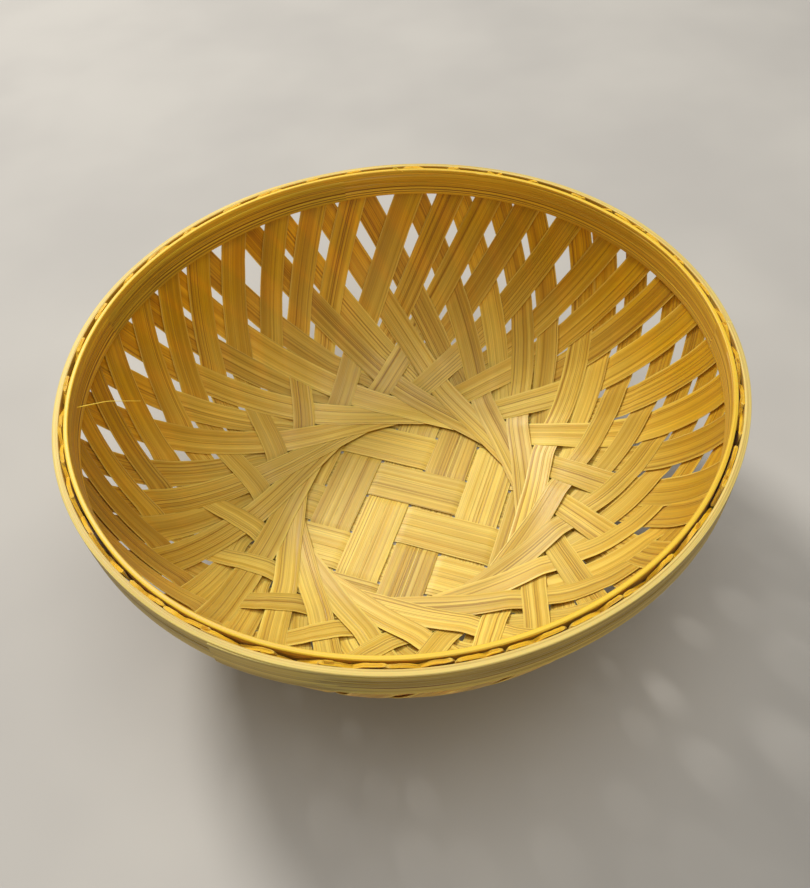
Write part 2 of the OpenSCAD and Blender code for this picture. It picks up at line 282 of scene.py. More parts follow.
def base_table(is_warp, index):
    """Lifts of one base strip at the strips that it crosses."""
    table = [(-SPLIT_AT, 0)]
    for crossing, (middle, width) in enumerate(zip(BASE_OFFSETS, BASE_WIDTHS)):
        on_top = warp_on_top(index, crossing) if is_warp else not warp_on_top(crossing, index)
        lift = OVER if on_top else UNDER
        reach = width / 2 - EDGE_EASE
        table += [(middle - reach, lift), (middle + reach, lift)]
    return table + [(SPLIT_AT, 0)]


# ---------------------------------------------------------------- ribbons
COLUMNS = 15
COLUMN_CROWDING = 0.8
ROUNDED = 0.07
EDGE_THINNING = 0.45
EDGE_RAGGEDNESS = 0.05
EDGE_BENDS = 60
RIDGE_DRIFT = 0.022
RIDGE_SIZE = 0.03
RIDGE_DRIFT_BENDS = 5
UNDERSIDE_RIDGES = 0.6
CUP_RANGE = (-0.04, 0.12)
END_REACH = 7
END_THICKENING = 2.0
END_PINCH = 0.7
TIP_REACH = 3.5
UNDERSIDE_SHIFT = 40
DYE_START = 0.05
DYE_SPAN = 0.75
DYE_POWER = 0.8
EDGE_BAND = 0.14
STEEP_FROM_SLOPE = 30
STEEP_OVER_SLOPE = 25
SHARP_ANGLE = math.radians(38)


class Ribbon:
    """A thin strip laid along a centre line, gathered as vertex grids for its two faces."""

    def __init__(self, line, angle, azimuth, width, keep_left=1.0, keep_right=1.0):
        count = len(line)
        along = unit(np.gradient(line, axis=0))
        up = normal(angle, azimuth)
        side = unit(np.cross(along, up))
        across = np.linspace(-1, 1, COLUMNS)
        across = np.sign(across) * np.abs(across) ** COLUMN_CROWDING
        self.share = np.broadcast_to(across, (count, COLUMNS))
        half = width[:, None] / 2
        left_edge = wander(count, EDGE_BENDS, EDGE_RAGGEDNESS)[:, None]
        right_edge = wander(count, EDGE_BENDS, EDGE_RAGGEDNESS)[:, None]
        ragged = np.where(self.share > 0, right_edge, left_edge)
        offset = self.share * half + ragged * np.abs(self.share) ** 4
        points = line[:, None] + side[:, None] * offset[..., None]
        flat = np.hypot(points[..., 0], points[..., 1])
        by_r = angle_at_r(flat)
        by_z = angle_at_z(points[..., 2] - BASE_LIFT)
        steep = smooth((np.degrees(slope(angle))[:, None] - STEEP_FROM_SLOPE) / STEEP_OVER_SLOPE)
        foot_angle = by_r * (1 - steep) + by_z * steep
        foot_r = np.where((flat <= FLAT_R) & (steep < 0.5), flat, profile(foot_angle)[0])
        foot_azimuth = np.degrees(np.arctan2(points[..., 1], points[..., 0]))
        self.foot = on_surface(foot_r, foot_angle, foot_azimuth)
        self.up = normal(foot_angle, foot_azimuth)
        self.offset = offset
        steps = np.linalg.norm(np.diff(line, axis=0), axis=1)
        self.length = np.concatenate([[0], np.cumsum(steps)])
        self.keep = (np.broadcast_to(keep_left, count), np.broadcast_to(keep_right, count))

    def faces(self, lift):
        """Vertex grids of the upper and lower face at the given lift."""
        count = len(self.length)
        padded = np.pad(lift, ((1, 1), (0, 0)), mode="edge")
        lift = (padded[:-2] + 2 * padded[1:-1] + padded[2:]) / 4
        ridges = np.stack([wander(count, RIDGE_DRIFT_BENDS, 1.0) for _ in range(COLUMNS)], 1)
        ridges = RIDGE_DRIFT * ridges + RIDGE_SIZE * rng.normal(0, 1, COLUMNS)
        cup = rng.uniform(*CUP_RANGE) * (1 - self.share ** 2)
        keep = np.where(self.share < 0, self.keep[0][:, None], self.keep[1][:, None])
        rounding = smooth((np.abs(self.share) - (1 - ROUNDED)) / ROUNDED) * keep
        half = STRIP_T / 2 * (1 - EDGE_THINNING * rounding)
        from_end = np.minimum(self.length, self.length[-1] - self.length)
        at_end = (1 - smooth(from_end / END_REACH))[:, None]
        half = half * (1 + END_THICKENING * at_end)
        middle = (lift + cup * np.clip(keep, 0.2, 1)) * (1 - END_PINCH * at_end)
        body = 1 - rounding
        top = self.foot + self.up * (middle + half + ridges * body)[..., None]
        low = middle - half + UNDERSIDE_RIDGES * ridges * body
        bottom = self.foot + self.up * low[..., None]
        return top, bottom


def grid_faces(rows, columns, first, flip):
    """Quads between neighbouring vertices of a grid."""
    index = first + np.arange(rows * columns).reshape(rows, columns)
    quads = np.stack([index[:-1, :-1], index[:-1, 1:], index[1:, 1:], index[1:, :-1]], -1).reshape(-1, 4)
    return quads[:, ::-1] if flip else quads


def closed_sheet(rows, columns, first):
    """Quads of a sheet with an upper and a lower grid, closed round its four edges."""
    low = first + rows * columns
    top = first + np.arange(rows * columns).reshape(rows, columns)
    bottom = low + np.arange(rows * columns).reshape(rows, columns)
    parts = [grid_faces(rows, columns, first, True), grid_faces(rows, columns, low, False)]
    for edge_top, edge_low, flip in (
        (top[:, 0], bottom[:, 0], False), (top[:, -1], bottom[:, -1], True),
        (top[0], bottom[0], True), (top[-1], bottom[-1], False),
    ):
        quads = np.stack([edge_top[:-1], edge_top[1:], edge_low[1:], edge_low[:-1]], -1)
        parts.append(quads[:, ::-1] if flip else quads)
    return np.concatenate(parts)


def make_piece(name, parts, nodes, material):
    """One mesh object from parts, each a dict of points, quads and per-vertex values."""
    points, quads, values = [], [], {key: [] for key in ("u", "v", "dye", "edge", "tip", "tone")}
    first = 0
    for part in parts:
        points.append(part["points"])
        quads.append(part["quads"] + first)
        first += len(part["points"])
        for key in values:
            values[key].append(np.broadcast_to(part[key], len(part["points"])))
    points = np.concatenate(points) * MM
    quads = np.concatenate(quads)
    values = {key: np.concatenate(value) for key, value in values.items()}
    mesh = bpy.data.meshes.new(name)
    mesh.vertices.add(len(points))
    mesh.vertices.foreach_set("co", points.ravel())
    mesh.loops.add(quads.size)
    mesh.loops.foreach_set("vertex_index", quads.ravel().astype(np.int32))
    mesh.polygons.add(len(quads))
    mesh.polygons.foreach_set("loop_start", np.arange(0, quads.size, 4, dtype=np.int32))
    mesh.update(calc_edges=True)
    mesh.validate()
    corners = np.empty(len(mesh.loops), np.int32)
    mesh.loops.foreach_get("vertex_index", corners)
    layer = mesh.uv_layers.new(name="grain")
    grain = np.stack([values["u"][corners], values["v"][corners]], 1)
    layer.data.foreach_set("uv", grain.ravel().astype(np.float32))
    for key in ("dye", "edge", "tip", "tone"):
        attribute = mesh.attributes.new(key, "FLOAT", "POINT")
        attribute.data.foreach_set("value", values[key].astype(np.float32))
    mesh.polygons.foreach_set("use_smooth", np.ones(len(mesh.polygons), bool))
    mesh.set_sharp_from_angle(angle=SHARP_ANGLE)
    piece = bpy.data.objects.new(name, mesh)
    bpy.context.scene.collection.objects.link(piece)
    mesh.materials.append(material)
    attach(piece, "root")
    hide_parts(*nodes)
    return piece


def ribbon_part(ribbon, lift, tone):
    """Points, faces and painting values of a ribbon."""
    top, bottom = ribbon.faces(lift)
    rows, columns = top.shape[:2]
    points = np.concatenate([top.reshape(-1, 3), bottom.reshape(-1, 3)])
    height = ribbon.foot[..., 2] / HOOP_TOP
    dye = smooth((height - DYE_START) / DYE_SPAN) ** DYE_POWER
    end = ribbon.length[-1]
    from_end = np.minimum(ribbon.length, end - ribbon.length)[:, None]
    tip = np.broadcast_to(1 - smooth(from_end / TIP_REACH), top.shape[:2])
    keep = np.where(ribbon.share < 0, ribbon.keep[0][:, None], ribbon.keep[1][:, None])
    edge = smooth((np.abs(ribbon.share) - (1 - EDGE_BAND)) / EDGE_BAND) * keep
    u = np.broadcast_to(ribbon.length[:, None], top.shape[:2])
    across = ribbon.offset.ravel()
    shift = rng.uniform(0, 1000, 2)
    return {
        "points": points,
        "quads": closed_sheet(rows, columns, 0),
        "u": (np.tile(u.ravel(), 2) + shift[0]) * MM,
        "v": (np.concatenate([across, across + UNDERSIDE_SHIFT]) + shift[1]) * MM,
        "dye": np.tile(dye.ravel(), 2),
        "edge": np.tile(edge.ravel(), 2),
        "tip": np.tile(tip.ravel(), 2),
        "tone": tone,
    }


SPACING = 1.7
WALL_SPACING = 0.75 * SPACING
TAIL_SPACING = 0.85 * SPACING
BASE_SPACING = 0.8 * SPACING
RING_REACH = 30
TRIM_SIZE = 0.9
WIDTH_BENDS = 6
RING_WIDTH_SPREAD = 0.025
RING_WIDTH_DRIFT = 0.16
BASE_WIDTH_SPREAD = 0.02
BASE_WIDTH_DRIFT = 0.14
USUAL_END_Z = 99.1
HIGHEST_END_Z = 99.95
TOP_LENGTH = np.interp(USUAL_END_Z, T_Z, T_LENGTH)
MOST_LENGTH = np.interp(HIGHEST_END_Z, T_Z, T_LENGTH)


def trimmed_length():
    """Length up the wall at which a strip's end is cut, unevenly, between the hoops."""
    return min(TOP_LENGTH + rng.normal(0, TRIM_SIZE), MOST_LENGTH)


# ---------------------------------------------------------------- ring strips
def ring_arm(hand, index, end_length):
    """Stations along one arm of a ring strip, from its tangent point up to its trimmed end."""
    reach = np.arange(0, RING_REACH, SPACING)
    base_turn = np.degrees(np.arctan(reach / RING_R))
    first = np.interp(base_turn[-1], T_TURN, T_LENGTH)
    lengths = np.linspace(first, end_length, int((end_length - first) / WALL_SPACING))[1:]
    turn = np.concatenate([base_turn, np.interp(lengths, T_LENGTH, T_TURN)])
    r_base = RING_R / np.cos(np.radians(base_turn))
    r = np.concatenate([r_base, np.interp(lengths, T_LENGTH, T_R)])
    angle = np.concatenate([angle_at_r(r_base), np.interp(lengths, T_LENGTH, T_ANGLE)])
    azimuth = RING_START + SLOT_TURN * index + hand * turn + strip_jitter(hand, index, turn)
    return turn, r, angle, azimuth


def ring_lift(ribbon, turn, index):
    """Lift of a ring strip: an iris ramp round the ring, then over and under up the wall."""
    x, y = ribbon.foot[..., 0], ribbon.foot[..., 1]
    start = RING_START + SLOT_TURN * index
    edge_turn = wrap(np.degrees(np.arctan2(y, x)) - start)
    ramp = RING_MID + FAN_STEP * np.clip(edge_turn / PITCH_TURN, -RAMP_REACH, RAMP_REACH)
    left = table_lift(crossing_number(ribbon.foot, 1, index), LEFT_LIFTS)
    right = table_lift(crossing_number(ribbon.foot, -1, index), RIGHT_LIFTS)
    wall = np.where(turn[:, None] > 0, left, right)
    share = smooth((np.abs(turn)[:, None] / CROSS_TURN - FAN_END_NUMBER) / FAN_END_REACH)
    return ramp * (1 - share) + wall * share


def ring_strip(number, material):
    """One long strip: a right arm and a left arm that meet where it touches the ring."""
    index = 2 * number
    left = ring_arm(1, index, trimmed_length())
    right = ring_arm(-1, index, trimmed_length())
    turn = np.concatenate([-right[0][:0:-1], left[0]])
    r = np.concatenate([right[1][:0:-1], left[1]])
    angle = np.concatenate([right[2][:0:-1], left[2]])
    azimuth = np.concatenate([right[3][:0:-1], left[3]])
    width = RING_W + (RING_END_W - RING_W) * smooth((np.abs(turn) - WIDENING_TURN) / WIDENING_REACH)
    width = width * (1 + rng.normal(0, RING_WIDTH_SPREAD))
    width = width + wander(len(turn), WIDTH_BENDS, RING_WIDTH_DRIFT)
    ribbon = Ribbon(on_surface(r, angle, azimuth), angle, azimuth, width)
    part = ribbon_part(ribbon, ring_lift(ribbon, turn, index), rng.uniform(-1, 1))
    name = "ring_strip_%02d" % (number + 1)
    return make_piece(name + "_look", [part], [name], material)


# ---------------------------------------------------------------- base strips
def tail(direction, hand, slot, offset):
    """Stations along one tail of a base strip, from the edge of the base weave to its end."""
    start_r = math.hypot(SPLIT_AT, offset)
    first = np.interp(start_r, T_R, T_LENGTH)
    end = trimmed_length()
    lengths = np.linspace(first, end, int((end - first) / TAIL_SPACING))
    r = np.interp(lengths, T_LENGTH, T_R)
    angle = np.interp(lengths, T_LENGTH, T_ANGLE)
    turn = np.interp(lengths, T_LENGTH, T_TURN)
    index = int(round((direction + hand * PITCH_TURN * (slot - MIDDLE_SLOT) - RING_START) / SLOT_TURN))
    ahead = direction - np.degrees(np.arcsin(offset / r))
    own = RING_START + SLOT_TURN * index + hand * turn + strip_jitter(hand, index, turn)
    share = smooth((r - start_r) / (BLEND_END_R - start_r))
    azimuth = ahead + share * wrap(own - ahead)
    return index, r, angle, azimuth


def tail_lift(points, hand, index):
    """Lift of a tail's points: under or over the strips of the other hand, changing once."""
    number = crossing_number(points, hand, index)
    return hand * WEAVE_H * (1 - 2 * smooth((number - TAIL_SWAP_NUMBER) / TAIL_SWAP_REACH))


def base_ribbon(direction, offset, width, far, near, table, tone, keep_left, keep_right):
    """A strip of the base, or half of a wide one, with a tail at both ends."""
    far_index, far_r, far_angle, far_azimuth = tail(direction, far[0], far[1], offset)
    near_index, near_r, near_angle, near_azimuth = tail(direction + 180, near[0], near[1], -offset)
    reach = np.arange(-SPLIT_AT + SPACING / 2, SPLIT_AT, BASE_SPACING)
    turned = math.radians(direction)
    x = reach * math.cos(turned) + offset * math.sin(turned)
    y = reach * math.sin(turned) - offset * math.cos(turned)
    flat = np.hypot(x, y)
    r = np.concatenate([near_r[::-1], flat, far_r])
    angle = np.concatenate([near_angle[::-1], angle_at_r(flat), far_angle])
    azimuth = np.concatenate([near_azimuth[::-1], np.degrees(np.arctan2(y, x)), far_azimuth])
    line = on_surface(r, angle, azimuth)
    n_near, n_far = len(near_r), len(far_r)
    count = len(r)
    apart = np.ones(count)
    apart[n_near:count - n_far] = 0
    apart = np.convolve(np.pad(apart, 2, mode="edge"), np.ones(5) / 5, "valid")
    wall_turn = turn_at_r(r)
    wider = smooth((wall_turn - WIDENING_TURN) / WIDENING_REACH) * apart
    widths = width + (TAIL_END_W - width) * wider
    widths = widths * (1 + rng.normal(0, BASE_WIDTH_SPREAD) * apart)
    widths = widths + wander(count, WIDTH_BENDS, BASE_WIDTH_DRIFT) * apart
    left = np.maximum(apart, keep_left)
    right = np.maximum(apart, keep_right)
    ribbon = Ribbon(line, angle, azimuth, widths, left, right)
    toward = np.array([math.cos(turned), math.sin(turned)])
    along = ribbon.foot[..., :2] @ toward
    base = table_lift(along, table)
    far_lift = tail_lift(ribbon.foot, far[0], far_index)
    near_lift = tail_lift(ribbon.foot, near[0], near_index)
    far_share = smooth((along - SPLIT_AT) / SPLIT_REACH)
    near_share = smooth((-along - SPLIT_AT) / SPLIT_REACH)
    far_share[count - n_far + TAIL_START_ROWS:] = 1
    near_share[:n_near - TAIL_START_ROWS] = 1
    far_share[:n_near] = 0
    near_share[n_near:] = 0
    lift = base * (1 - far_share - near_share) + far_lift * far_share + near_lift * near_share
    return ribbon_part(ribbon, lift, tone)


def base_strip(is_warp, number, material):
    """One strip of the base mat. A wide one is two halves side by side, with a tail at each end."""
    direction = BASE_TURN + (90 if is_warp else 0)
    offset = BASE_OFFSETS[number] * (1 if is_warp else -1)
    row = number if is_warp else BASE_COUNT - 1 - number
    table = base_table(is_warp, number)
    tone = rng.uniform(-1, 1)
    if 0 < row < BASE_COUNT - 1:
        half = WIDE_W / 4
        slot = BASE_COUNT - 1 - row
        left = base_ribbon(
            direction, offset - half, WIDE_W / 2, (1, slot), (-1, slot), table, tone, 1, 0)
        right = base_ribbon(
            direction, offset + half, WIDE_W / 2, (-1, row), (1, row), table, tone, 0, 1)
        parts = [left, right]
    else:
        hand = 1 if offset > 0 else -1
        parts = [base_ribbon(direction, offset, NARROW_W, (hand, 0), (-hand, 0), table, tone, 1, 1)]
    name = "base_%s_%d" % ("warp" if is_warp else "weft", number + 1)
    return make_piece(name + "_look", parts, [name], material)


# ---------------------------------------------------------------- hoops
HOOP_STATIONS = 480
CRACK_WIDTH = 0.3
CRACK_DEPTH = 0.4
CRACK_REACHES = (8, 34)
CRACK_LEVELS = (0.12, 0.92)
CRACK_DRIFTS = (-0.012, 0.012)
CRACK_SHARES = (0.4, 1)
CRACK_LIMIT = 1.3
WAVES = range(2, 12)
WAVE_SIZES = np.array([0.112, 0.10, 0.12])[:, None]
FACE_MARGIN = 0.05
TOP_EDGE_BAND = 0.7
RIDGE_POINTS = 60
RIDGE_BENDS = 28
HOOP_RIDGE_SIZE = 0.036
NODE_AZIMUTH = 67
NODE_REACH = 0.9
NODE_HEIGHT = 0.22
FACE_ROWS = 34


def section_outline(width, height):
    """Points round a hoop's section, out from its inside and up from its foot, and how far along."""
    corner = 0.35
    side, rise = 0.12, 0.1
    face = np.linspace(corner, height - corner, FACE_ROWS)
    inside = np.stack([np.zeros(FACE_ROWS), face], 1)
    bottom = np.array([[width - side, rise], [width - corner, 0], [corner, 0], [side, rise]])
    top = bottom[::-1] * (1, -1) + (0, height)
    outside = np.stack([np.full(FACE_ROWS, width), face[::-1]], 1)
    outline = np.concatenate([inside, top, outside, bottom])
    steps = np.linalg.norm(np.diff(outline, axis=0), axis=1)
    return outline, np.concatenate([[0], np.cumsum(steps)])


def splits(azimuth, z, height, count, depth):
    """Long narrow cracks along a hoop's face, as a depth at each azimuth and height."""
    total = np.zeros(np.broadcast(azimuth, z).shape)
    for _ in range(count):
        middle = rng.uniform(0, 360)
        reach = rng.uniform(*CRACK_REACHES)
        level = rng.uniform(*CRACK_LEVELS) * height
        drift = rng.uniform(*CRACK_DRIFTS)
        offset = wrap(azimuth - middle)
        fade = smooth(1.4 * (1 - np.abs(offset) / reach))
        distance = np.abs(z - level - drift * offset)
        open_share = np.clip(1 - distance / CRACK_WIDTH, 0, 1)
        total += fade * open_share * rng.uniform(*CRACK_SHARES) * depth
    return np.minimum(total, depth * CRACK_LIMIT)


def hoop_part(inner_r, width, bottom_z, height, start, sweep, dye, crack_count, taper, anchor=0):
    """A bent strip: a whole hoop, or a lapped layer of one that thins out at its far end.

    dye is the amount of dye on its inner half and on its outer half. With anchor 1, the far end
    thins towards its outer face, and with 0 towards its inner one.
    """
    closed = sweep >= 360
    stations = HOOP_STATIONS if closed else max(8, int(HOOP_STATIONS * sweep / 360) + 1)
    share = np.arange(stations) / (stations if closed else stations - 1)
    azimuth = start + sweep * share
    outline, around = section_outline(width, height)
    columns = len(outline)
    wave = np.zeros((3, stations))
    for k in WAVES:
        phase = rng.uniform(0, 2 * math.pi, 3)[:, None]
        wave += WAVE_SIZES / math.sqrt(k) * np.sin(k * np.radians(azimuth)[None] + phase)
    out, up = outline[None, :, 0], outline[None, :, 1]
    thin = (1 - smooth(share) * taper)[:, None]
    r = inner_r + out * thin + wave[0][:, None] + anchor * width * (1 - thin)
    z = bottom_z + up + wave[1][:, None] * (up > height / 2) + wave[2][:, None] * (up < height / 2)
    ridges = wander(RIDGE_POINTS, RIDGE_BENDS, HOOP_RIDGE_SIZE)
    relief = np.interp(up, np.linspace(0, height, RIDGE_POINTS), ridges)
    cracks_in = splits(azimuth[:, None], up, height, crack_count, CRACK_DEPTH)
    cracks_out = splits(azimuth[:, None], up, height, crack_count, CRACK_DEPTH)
    node_ridge = NODE_HEIGHT * np.exp(-(wrap(azimuth - NODE_AZIMUTH) / NODE_REACH) ** 2)[:, None]
    r = r + (out < FACE_MARGIN) * (relief + cracks_in - node_ridge)
    r = r - (out > width - FACE_MARGIN) * (relief + cracks_out)
    turn = np.radians(azimuth)[:, None]
    points = np.stack([r * np.cos(turn), r * np.sin(turn), z], -1)
    index = np.arange(stations * columns).reshape(stations, columns)
    nxt = np.roll(index, -1, axis=1)
    ahead = np.roll(index, -1, axis=0) if closed else index[1:]
    ahead_nxt = np.roll(nxt, -1, axis=0) if closed else nxt[1:]
    body = index if closed else index[:-1]
    body_nxt = nxt if closed else nxt[:-1]
    quads = np.stack([body, ahead, ahead_nxt, body_nxt], -1).reshape(-1, 4)
    if not closed:
        quads = np.concatenate([quads, end_caps(index)])
    top_edge = smooth((up - (height - TOP_EDGE_BAND)) / (TOP_EDGE_BAND - 0.1))
    along = np.broadcast_to((np.radians(azimuth) * inner_r)[:, None], r.shape)
    return {
        "points": points.reshape(-1, 3),
        "quads": quads,
        "u": along.ravel() * MM,
        "v": np.broadcast_to(around[None] + 90, r.shape).ravel() * MM,
        "dye": np.broadcast_to(np.where(out < width / 2, *dye), r.shape).ravel(),
        "edge": np.broadcast_to(top_edge, r.shape).ravel(),
        "tip": 0.0,
        "tone": rng.uniform(-0.3, 0.3),
    }


def end_caps(index):
    """Quads that close both cut ends of a bent strip, across from its inside to its outside."""
    inside = np.arange(FACE_ROWS)
    outside = 2 * FACE_ROWS + 3 - inside
    caps = []
    for row, flip in ((index[0], False), (index[-1], True)):
        quads = np.stack([row[inside[:-1]], row[inside[1:]], row[outside[1:]], row[outside[:-1]]], -1)
        caps.append(quads[:, ::-1] if flip else quads)
    return np.concatenate(caps)


def hair(points, radius, tone):
    """A thin loose fibre as a tapered tube along a few points."""
    points = np.array(points, float)
    x = np.linspace(0, len(points) - 1, HAIR_STATIONS)
    line = np.stack([np.interp(x, np.arange(len(points)), points[:, k]) for k in range(3)], 1)
    for _ in range(HAIR_SMOOTHINGS):
        line[1:-1] = (line[:-2] + line[2:] + 2 * line[1:-1]) / 4
    along = unit(np.gradient(line, axis=0))
    side = unit(np.cross(along, [0.1, 0.2, 1]))
    up = np.cross(side, along)
    turns = np.linspace(0, 2 * math.pi, HAIR_SIDES + 1)[:-1]
    thick = radius * (1 - HAIR_TAPER * np.linspace(0, 1, HAIR_STATIONS))[:, None, None]
    ring = side[:, None] * np.cos(turns)[None, :, None] + up[:, None] * np.sin(turns)[None, :, None]
    grid = line[:, None] + ring * thick
    index = np.arange(HAIR_STATIONS * HAIR_SIDES).reshape(HAIR_STATIONS, HAIR_SIDES)
    nxt = np.roll(index, -1, axis=1)
    quads = np.stack([index[:-1], nxt[:-1], nxt[1:], index[1:]], -1).reshape(-1, 4)
    u = np.broadcast_to((x * HAIR_GRAIN)[:, None], index.shape).ravel() * MM
    return {"points": grid.reshape(-1, 3), "quads": quads, "u": u, "v": 0.3, "dye": 0.2, "edge": 1.0,
            "tip": 0.0, "tone": tone}


HAIR_STATIONS = 40
HAIR_SIDES = 6
HAIR_SMOOTHINGS = 12
HAIR_TAPER = 0.7
HAIR_RADIUS = 0.22
HAIR_GRAIN = 20
LOOSE_FIBRES = [
    [(-118.2, -8.5, 95.5), (-107, -6.6, 95.4), (-95.6, -6.4, 93.6)],
    [(6.9, 121.0, 100.8), (8.5, 119.2, 102.0), (11.2, 116.6, 101.2)],
]


INNER_LAP_START = 98
INNER_LAP_SWEEP = 64
INNER_LAP_IN = 0.35
INNER_LAP_T = 0.55
INNER_LAP_DROP = 0.2
INNER_LAP_LOWER = 2.6
OUTER_LAP_START = 241
OUTER_LAP_SWEEP = 22
OUTER_LAP_IN = 0.2
OUTER_LAP_T = 0.6
OUTER_LAP_RISE = 0.4
OUTER_LAP_LOWER = 0.9
OUTER_HOOP_EXTRA = 0.2
CRACKS_PER_HOOP = 60


def inner_hoop(material):
    """The hoop inside the strip ends, with a thin lapped layer and the loose fibres."""
    inner_r = RIM_R - OUTER_HOOP_T - HOOP_GAP - INNER_HOOP_T + INNER_HOOP_OUT
    bottom_z = HOOP_TOP + INNER_HOOP_RISE - INNER_HOOP_H
    parts = [
        hoop_part(inner_r, INNER_HOOP_T, bottom_z, INNER_HOOP_H,
                  start=0, sweep=360, dye=(0.62, 0.62), crack_count=CRACKS_PER_HOOP, taper=0),
        hoop_part(inner_r - INNER_LAP_IN, INNER_LAP_T, bottom_z - INNER_LAP_DROP,
                  INNER_HOOP_H - INNER_LAP_LOWER, start=INNER_LAP_START, sweep=INNER_LAP_SWEEP,
                  dye=(0.66, 0.66), crack_count=8, taper=0.98, anchor=1),
    ]
    for points in LOOSE_FIBRES:
        parts.append(hair(points, HAIR_RADIUS, tone=0.8))
    return make_piece("inner_hoop_look", parts, ["inner_hoop"], material)


def outer_hoop(material):
    """The hoop outside the strip ends, with its lapped joint."""
    inner_r = RIM_R - OUTER_HOOP_T - OUTER_HOOP_IN
    bottom_z = HOOP_TOP - OUTER_HOOP_H
    parts = [
        hoop_part(inner_r, OUTER_HOOP_T + OUTER_HOOP_EXTRA, bottom_z, OUTER_HOOP_H,
                  start=0, sweep=360, dye=(0.5, 0), crack_count=CRACKS_PER_HOOP, taper=0),
        hoop_part(RIM_R - OUTER_LAP_IN, OUTER_LAP_T, bottom_z + OUTER_LAP_RISE,
                  OUTER_HOOP_H - OUTER_LAP_LOWER, start=OUTER_LAP_START, sweep=OUTER_LAP_SWEEP,
                  dye=(0, 0), crack_count=6, taper=0.95),
    ]
    return make_piece("outer_hoop_look", parts, ["outer_hoop"], material)


# ---------------------------------------------------------------- materials
def srgb(red, green, blue):
    """Scene colour of a display colour given in 0 to 255."""
    def channel(c):
        c /= 255
        return c / 12.92 if c <= 0.04045 else ((c + 0.055) / 1.055) ** 2.4
    return (channel(red), channel(green), channel(blue), 1.0)


BROWN_LINE = srgb(158, 122, 74)
BUMP_DEPTH = 0.00016
GLOW_DEPTH = 0.0018
GLOW_COLOUR = (1.0, 0.62, 0.2)


class Graph:
    """A material's node tree, with short calls for the nodes that the splints use."""

    def __init__(self, name):
        self.material = bpy.data.materials.new(name)
        self.material.use_nodes = True
        self.tree = self.material.node_tree
        self.shader = self.tree.nodes["Principled BSDF"]

    def feed(self, socket, value):
        if isinstance(value, bpy.types.NodeSocket):
            self.tree.links.new(value, socket)
        else:
            socket.default_value = value

    def attribute(self, name):
        node = self.tree.nodes.new("ShaderNodeAttribute")
        node.attribute_name = name
        return node.outputs["Fac"]

    def maths(self, kind, a, b=0.0, clamp=False):
        node = self.tree.nodes.new("ShaderNodeMath")
        node.operation = kind
        node.use_clamp = clamp
        self.feed(node.inputs[0], a)
        self.feed(node.inputs[1], b)
        return node.outputs[0]

    def spread(self, value, low, high, to_low=0.0, to_high=1.0):
        node = self.tree.nodes.new("ShaderNodeMapRange")
        node.interpolation_type = "SMOOTHSTEP"
        for socket, number in zip(node.inputs, (value, low, high, to_low, to_high)):
            self.feed(socket, number)
        return node.outputs[0]

    def mix(self, share, a, b, kind="MIX"):
        node = self.tree.nodes.new("ShaderNodeMix")
        node.data_type = "RGBA"
        node.blend_type = kind
        self.feed(node.inputs["Factor"], share)
        self.feed(node.inputs[6], a)
        self.feed(node.inputs[7], b)
        return node.outputs[2]

    def grain(self, along, across, detail=2.0, roughness=0.5, depth=0.0):
        """Noise stretched along the fibres: features per metre along and across them."""
        uv = self.tree.nodes.new("ShaderNodeUVMap")
        uv.uv_map = "grain"
        split = self.tree.nodes.new("ShaderNodeSeparateXYZ")
        self.feed(split.inputs[0], uv.outputs[0])
        join = self.tree.nodes.new("ShaderNodeCombineXYZ")
        self.feed(join.inputs[0], self.maths("MULTIPLY", split.outputs[0], float(along)))
        self.feed(join.inputs[1], self.maths("MULTIPLY", split.outputs[1], float(across)))
        self.feed(join.inputs[2], depth)
        noise = self.tree.nodes.new("ShaderNodeTexNoise")
        self.feed(noise.inputs["Vector"], join.outputs[0])
        noise.inputs["Scale"].default_value = 1.0
        noise.inputs["Detail"].default_value = detail
        noise.inputs["Roughness"].default_value = roughness
        return noise.outputs[0]


